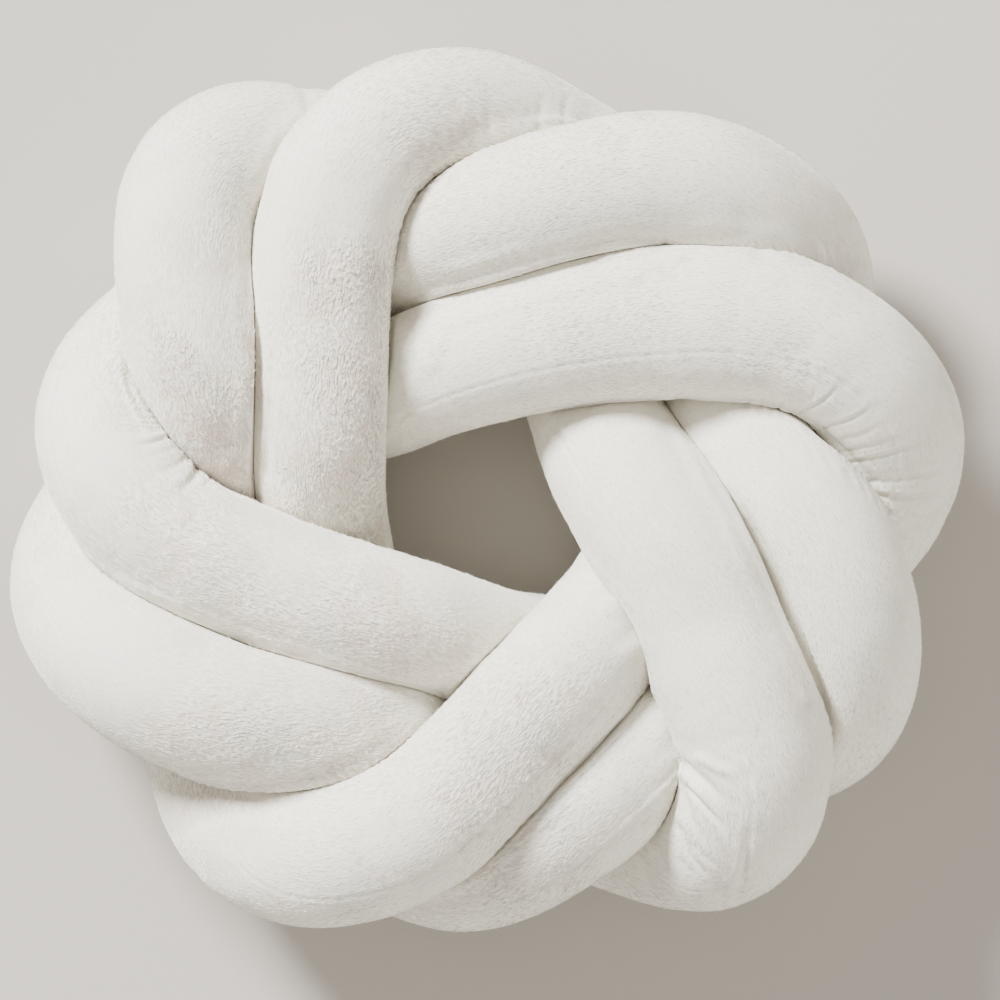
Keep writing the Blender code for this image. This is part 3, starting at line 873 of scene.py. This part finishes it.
plush = {
    # the second colour on the next line is painted shade, for the hollows between the pile's licks
    "bright": (0.912, 0.895, 0.812, 1), "pileHollowShade": (0.660, 0.625, 0.550, 1),
    # blush is a pink tint, and on the ruffled sides it also serves as painted shade
    "blush": (0.710, 0.630, 0.555, 1), "cool": (0.700, 0.715, 0.640, 1),
    "blushPile": (0.765, 0.688, 0.605, 1), "coolPile": (0.775, 0.775, 0.700, 1),
    "pileLong": 0.0038, "pileWide": 0.0013,  # one lick of the pile, along the tube and across it
    "wander": 0.0060,  # how far the licks stray sideways
    "strayScale": 45.0, "lickDetail": 0.8,
    "hairScale": 3.1, "hairShare": 0.14,  # fine hairs among the licks
    # the lower height gives the hollow colour, which is painted shade
    "darkLick": 0.28, "brightLick": 0.66,  # heights at which a lick gets its two colours
    "pileHeight": 0.00070,
    "zones": 14.0, "zoneDetail": 1.5, "zoneFrom": 0.38, "zoneTo": 0.60,  # where the pile is ruffled
    "mostRuffled": 1.8,
    "calmest": 0.15,  # strength of the pile where it lies smoothest
    "tintDetail": 2.0,
    # the last value darkens the ruffled sides with blush: partly the nap's own tone, partly painted shade
    "blushScale": 60.0, "blushFrom": 0.48, "blushTo": 0.66, "blushMost": 0.4, "ruffledSideShade": 0.35,
    "coolScale": 47.0, "coolFrom": 0.34, "coolTo": 0.50, "coolMost": 0.45,
    "matt": {"Roughness": 0.96, "Specular IOR Level": 0.2},
    "sheen": {"Sheen Weight": 0.35, "Sheen Roughness": 0.45, "Sheen Tint": (1.0, 0.99, 0.97, 1)},
}


def plushFinish():
    made = finishOf("whitePlush", {**plush["matt"], **plush["sheen"]})
    graph = Graph(made.node_tree)
    surface = made.node_tree.nodes["Principled BSDF"].inputs
    place = graph.node("ShaderNodeUVMap", {"uv_map": "tubeMap"})
    spot = graph.node("ShaderNodeTexCoord", result=3)

    def blend(factor, one, other):
        return graph.node("ShaderNodeMix", {"data_type": "RGBA"}, {"Factor": factor, 6: one, 7: other}, 2)

    stray = graph.vectors("SUBTRACT", graph.noise(spot, plush["strayScale"], 1.0, 1), (0.5, 0.5, 0.5))
    stray = graph.vectors("SCALE", stray, 2 * plush["wander"], "Scale")
    pileSpot = graph.vectors("ADD", place, stray)
    pileSpot = graph.vectors("MULTIPLY", pileSpot, (1 / plush["pileLong"], 1 / plush["pileWide"], 0))
    licks = graph.noise(pileSpot, 1.0, plush["lickDetail"], 0, "2D")
    hairs = graph.noise(pileSpot, plush["hairScale"], 0.0, 0, "2D")
    ruffled = graph.node("ShaderNodeAttribute", {"attribute_name": "ruffled"}, result=2)
    zones = graph.noise(spot, plush["zones"], plush["zoneDetail"])
    strength = graph.ranged(zones, plush["zoneFrom"], plush["zoneTo"], plush["calmest"], 1.0) * ruffled
    strength = strength.atMost(plush["mostRuffled"])
    height = 0.5 + (licks - 0.5) * strength + (hairs - 0.5) * plush["hairShare"]
    blush = graph.noise(spot, plush["blushScale"], plush["tintDetail"])
    blush = graph.ranged(blush, plush["blushFrom"], plush["blushTo"], 0.0, plush["blushMost"])
    cool = graph.noise(spot, plush["coolScale"], plush["tintDetail"])
    cool = graph.ranged(cool, plush["coolFrom"], plush["coolTo"], plush["coolMost"], 0.0)
    # the low parts of the pile get the darker colour: painted shade in its hollows
    colour = graph.ranged(height, plush["darkLick"], plush["brightLick"])
    colour = blend(colour, plush["pileHollowShade"], plush["bright"])
    # blush mottles the skin at random, and the ruffled sides get more of it: partly the nap's own tone,
    # partly painted shade
    colour = blend(blush * strength + plush["ruffledSideShade"] * strength, colour, plush["blush"])
    graph.feed(surface["Base Color"], blend(cool, colour, plush["cool"]))
    bump = {"Strength": 1.0, "Distance": plush["pileHeight"], "Height": height}
    graph.feed(surface["Normal"], graph.node("ShaderNodeBump", {}, bump))
    return made


cushion.data.materials.append(plushFinish())
print("plush finish made")

pile = {
    "Tufts a square metre": 352000.0,
    "Length": 0.0036,
    "Width": 0.00019,
    "Rise": 0.16,  # how steeply a tuft stands, against lying along the tube
    "Rise of strays": 0.50,  # how much steeper the few stray ones stand
    "Rise in creases": 0.45,  # how much steeper they stand beside a neighbouring stretch
    "Stray": 0.34,  # how far it turns aside
    "Rarity of strays": 9.0,
    "Least length": 0.5,
    "Least width": 0.42,  # share of the width where the pile lies smooth
    "Ruffled width": 0.5,  # what ruffling adds to it
    "Full from": 0.3,  # room, from 0 to 1, at which the pile stands at its full density
    "Blush share": 0.50, "Cool share": 0.47,
    "Seed": 5,
}
# more of the darker tinted pile grows on the ruffled sides: partly the nap's own tone, partly painted shade
tintAndShadeByRuffling = (0.3, 1.8, -0.12, 0.08)  # strengths, and what they add to the share of tinted pile


def pileTree(finishes):
    # short fibres set all over the skin, lying along the tube as the pile was brushed
    tree = bpy.data.node_groups.new("pileTufts", "GeometryNodeTree")
    tree.interface.new_socket("Skin", in_out="INPUT", socket_type="NodeSocketGeometry")
    for name, value in pile.items():
        kind = "NodeSocketInt" if isinstance(value, int) else "NodeSocketFloat"
        tree.interface.new_socket(name, in_out="INPUT", socket_type=kind)
    tree.interface.new_socket("Pile", in_out="OUTPUT", socket_type="NodeSocketGeometry")
    graph = Graph(tree)
    given = {socket.name: Wire(graph, socket) for socket in tree.nodes.new("NodeGroupInput").outputs}
    result = tree.nodes.new("NodeGroupOutput")

    def named(name, kind="FLOAT"):
        return graph.node("GeometryNodeInputNamedAttribute", {"data_type": kind}, {"Name": name})

    def chance(least, most, seed, kind="FLOAT", result=1, inputs=(2, 3)):
        values = {inputs[0]: least, inputs[1]: most, "Seed": seed}
        return graph.node("FunctionNodeRandomValue", {"data_type": kind}, values, result)

    def clouds(scale):
        return graph.noise(graph.node("GeometryNodeInputPosition"), scale, plush["zoneDetail"])

    room = named("bare")
    crowd = graph.ranged(room, 0.0, given["Full from"], kind="LINEAR")
    spots = graph.node("GeometryNodeDistributePointsOnFaces", {"distribute_method": "RANDOM"}, {
        "Mesh": given["Skin"], "Density": crowd * given["Tufts a square metre"], "Seed": given["Seed"]})
    facing = Wire(graph, spots.socket.node.outputs["Normal"])
    zones = graph.ranged(clouds(plush["zones"]), plush["zoneFrom"], plush["zoneTo"], plush["calmest"], 1.0)
    strength = (named("ruffled") * zones).atMost(plush["mostRuffled"])
    rare = chance(0.0, 1.0, 3) ** given["Rarity of strays"]
    rise = strength * given["Rise"] + rare * given["Rise of strays"]
    rise = rise + (1.0 - room) * given["Rise in creases"]
    aside = chance((-1, -1, -1), (1, 1, 1), 1, "FLOAT_VECTOR", 0, (0, 1))
    aside = graph.vectors("SCALE", aside, strength * given["Stray"], "Scale")
    lifted = graph.vectors("SCALE", facing, rise, "Scale")
    way = graph.vectors("ADD", named("pileWay", "FLOAT_VECTOR"), lifted)
    way = graph.vectors("ADD", way, aside)
    turned = graph.node("FunctionNodeAlignRotationToVector", {"axis": "Z"}, {"Vector": way})
    tuft = graph.node("GeometryNodeMeshCone", {"fill_type": "NONE"}, {
        "Vertices": 3, "Radius Top": 0.0, "Radius Bottom": 1.0, "Depth": 1.0})
    length = chance(given["Least length"], 1.0, 2) * given["Length"]
    width = (strength * given["Ruffled width"] + given["Least width"]) * given["Width"]
    size = graph.node("ShaderNodeCombineXYZ", {}, {0: width, 1: width, 2: length})
    tufts = graph.node("GeometryNodeInstanceOnPoints", {}, {
        "Points": spots, "Instance": tuft, "Rotation": turned, "Scale": size})
    tufts = graph.node("GeometryNodeRealizeInstances", {}, {"Geometry": tufts})
    tufts = graph.node("GeometryNodeSetShadeSmooth", {}, {"Geometry": tufts})
    everywhere, blushing, cool = finishes
    tufts = graph.node("GeometryNodeSetMaterial", {}, {"Geometry": tufts, "Material": everywhere})
    for finish, scale, share, sign in ((blushing, "blushScale", "Blush share", 1.0),
                                       (cool, "coolScale", "Cool share", -1.0)):
        over = (clouds(plush[scale]) - given[share]) * sign
        # ruffled places get more of the darker tinted fibres, partly as painted shade
        over = over + graph.ranged(strength, *tintAndShadeByRuffling, "LINEAR")
        chosen = graph.node("FunctionNodeCompare", {}, {0: over, 1: 0.0})
        tufts = graph.node("GeometryNodeSetMaterial", {}, {
            "Geometry": tufts, "Selection": chosen, "Material": finish})
    graph.feed(result.inputs["Pile"], tufts)
    return tree


def grownPile(body):
    # one piece for each third of the tube, so that none gets too many faces
    tree = pileTree([
        finishOf(name, {"Base Color": plush[shade], **plush["matt"]}) for name, shade in
        (("whitePile", "bright"), ("blushPile", "blushPile"), ("coolPile", "coolPile"))])
    graph = bpy.context.evaluated_depsgraph_get()
    grown, names = [], ("shortPileFirst", "shortPileSecond", "shortPileThird")
    parts = np.repeat((np.arange(len(shares)) * len(names)) // len(shares), len(offsets))
    for number, name in enumerate(names):
        carrier = added("pileCarrier", body.data.copy())
        there = bare.reshape(-1) * (parts == number)
        carrier.data.attributes["bare"].data.foreach_set("value", there.astype(np.float32))
        growth = carrier.modifiers.new("pileTufts", "NODES")
        growth.node_group = tree
        for item in tree.interface.items_tree:
            if item.in_out == "INPUT" and item.name in pile:
                growth[item.identifier] = pile[item.name]
        graph.update()
        mesh = bpy.data.meshes.new_from_object(carrier.evaluated_get(graph), depsgraph=graph)
        mesh.name = name
        for attribute in ("bare", "ruffled", "pileWay"):
            if attribute in mesh.attributes:
                mesh.attributes.remove(mesh.attributes[attribute])
        bpy.data.objects.remove(carrier, do_unlink=True)
        grown.append(added(name, mesh))
        print(name, "grown,", len(mesh.polygons), "faces")
    return grown


pileFloor = 0.005  # the pile gives out this far above the plane the cushion rests on
bare[surface[:, :, 2] < pileFloor] = 0
pileWay = np.roll(surface, -1, 0) - np.roll(surface, 1, 0)
setAlong(cushion, "pileWay", pileWay / np.linalg.norm(pileWay, axis=2, keepdims=True))
setAlong(cushion, "bare", bare)
shortPile = grownPile(cushion)
print("short pile grown")

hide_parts("knotted_tube")
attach(cushion, "root")
for piece in shortPile:
    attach(piece, "root")

studio = {
    "floorSize": 6.0, "floorColour": (0.46, 0.435, 0.40, 1), "floorRoughness": 0.9,
    "sky": (1.0, 0.92, 0.83, 1), "skyStrength": 0.74,
    "keyPlace": (-5.8, 6.9, 6.4), "keySize": 3.2, "keyPower": 4720.0, "keyColour": (1.0, 0.99, 0.975),
    "fillPlace": (2.3, -2.3, 1.1), "fillSize": 1.8, "fillPower": 70.0, "fillColour": (1.0, 0.97, 0.93),
    "aim": (0, 0, 0.05),
}
view = {
    "distance": 8.0, "sensor": 36.0, "clip": (0.1, 30.0),
    "height": 0.09, "width": 0.46,  # width of what is in the picture at that height
    "centre": (500, 500),  # the picture's middle on the face grid
}


def floorPiece():
    half = studio["floorSize"] / 2
    mesh = bpy.data.meshes.new("floor")
    corners = [(-half, -half, 0), (half, -half, 0), (half, half, 0), (-half, half, 0)]
    mesh.from_pydata(corners, [], [(0, 1, 2, 3)])
    finish = {"Base Color": studio["floorColour"], "Roughness": studio["floorRoughness"]}
    mesh.materials.append(finishOf("paleFloor", finish))
    return added("floor", mesh)


def softLight(name, kind):
    lamp = bpy.data.lights.new(name, "AREA")
    lamp.shape, lamp.size = "DISK", studio[kind + "Size"]
    lamp.energy, lamp.color = studio[kind + "Power"], studio[kind + "Colour"]
    made = added(name, lamp)
    made.location = studio[kind + "Place"]
    made.rotation_euler = (Vector(studio["aim"]) - made.location).to_track_quat("-Z", "Y").to_euler()


floorPiece()
softLight("keyLight", "key")
softLight("fillLight", "fill")

sky = bpy.data.worlds.new("studioSky")
sky.use_nodes = True
sky.node_tree.nodes["Background"].inputs["Color"].default_value = studio["sky"]
sky.node_tree.nodes["Background"].inputs["Strength"].default_value = studio["skyStrength"]
bpy.context.scene.world = sky

lens = bpy.data.cameras.new("camera")
lens.sensor_width = view["sensor"]
lens.lens = view["sensor"] * (view["distance"] - view["height"]) / view["width"]
lens.clip_start, lens.clip_end = view["clip"]
camera = added("camera", lens)
centre = np.array(onFace(*view["centre"])) + laidBy[:2]
camera.location = (centre[0], centre[1], view["distance"])
bpy.context.scene.camera = camera
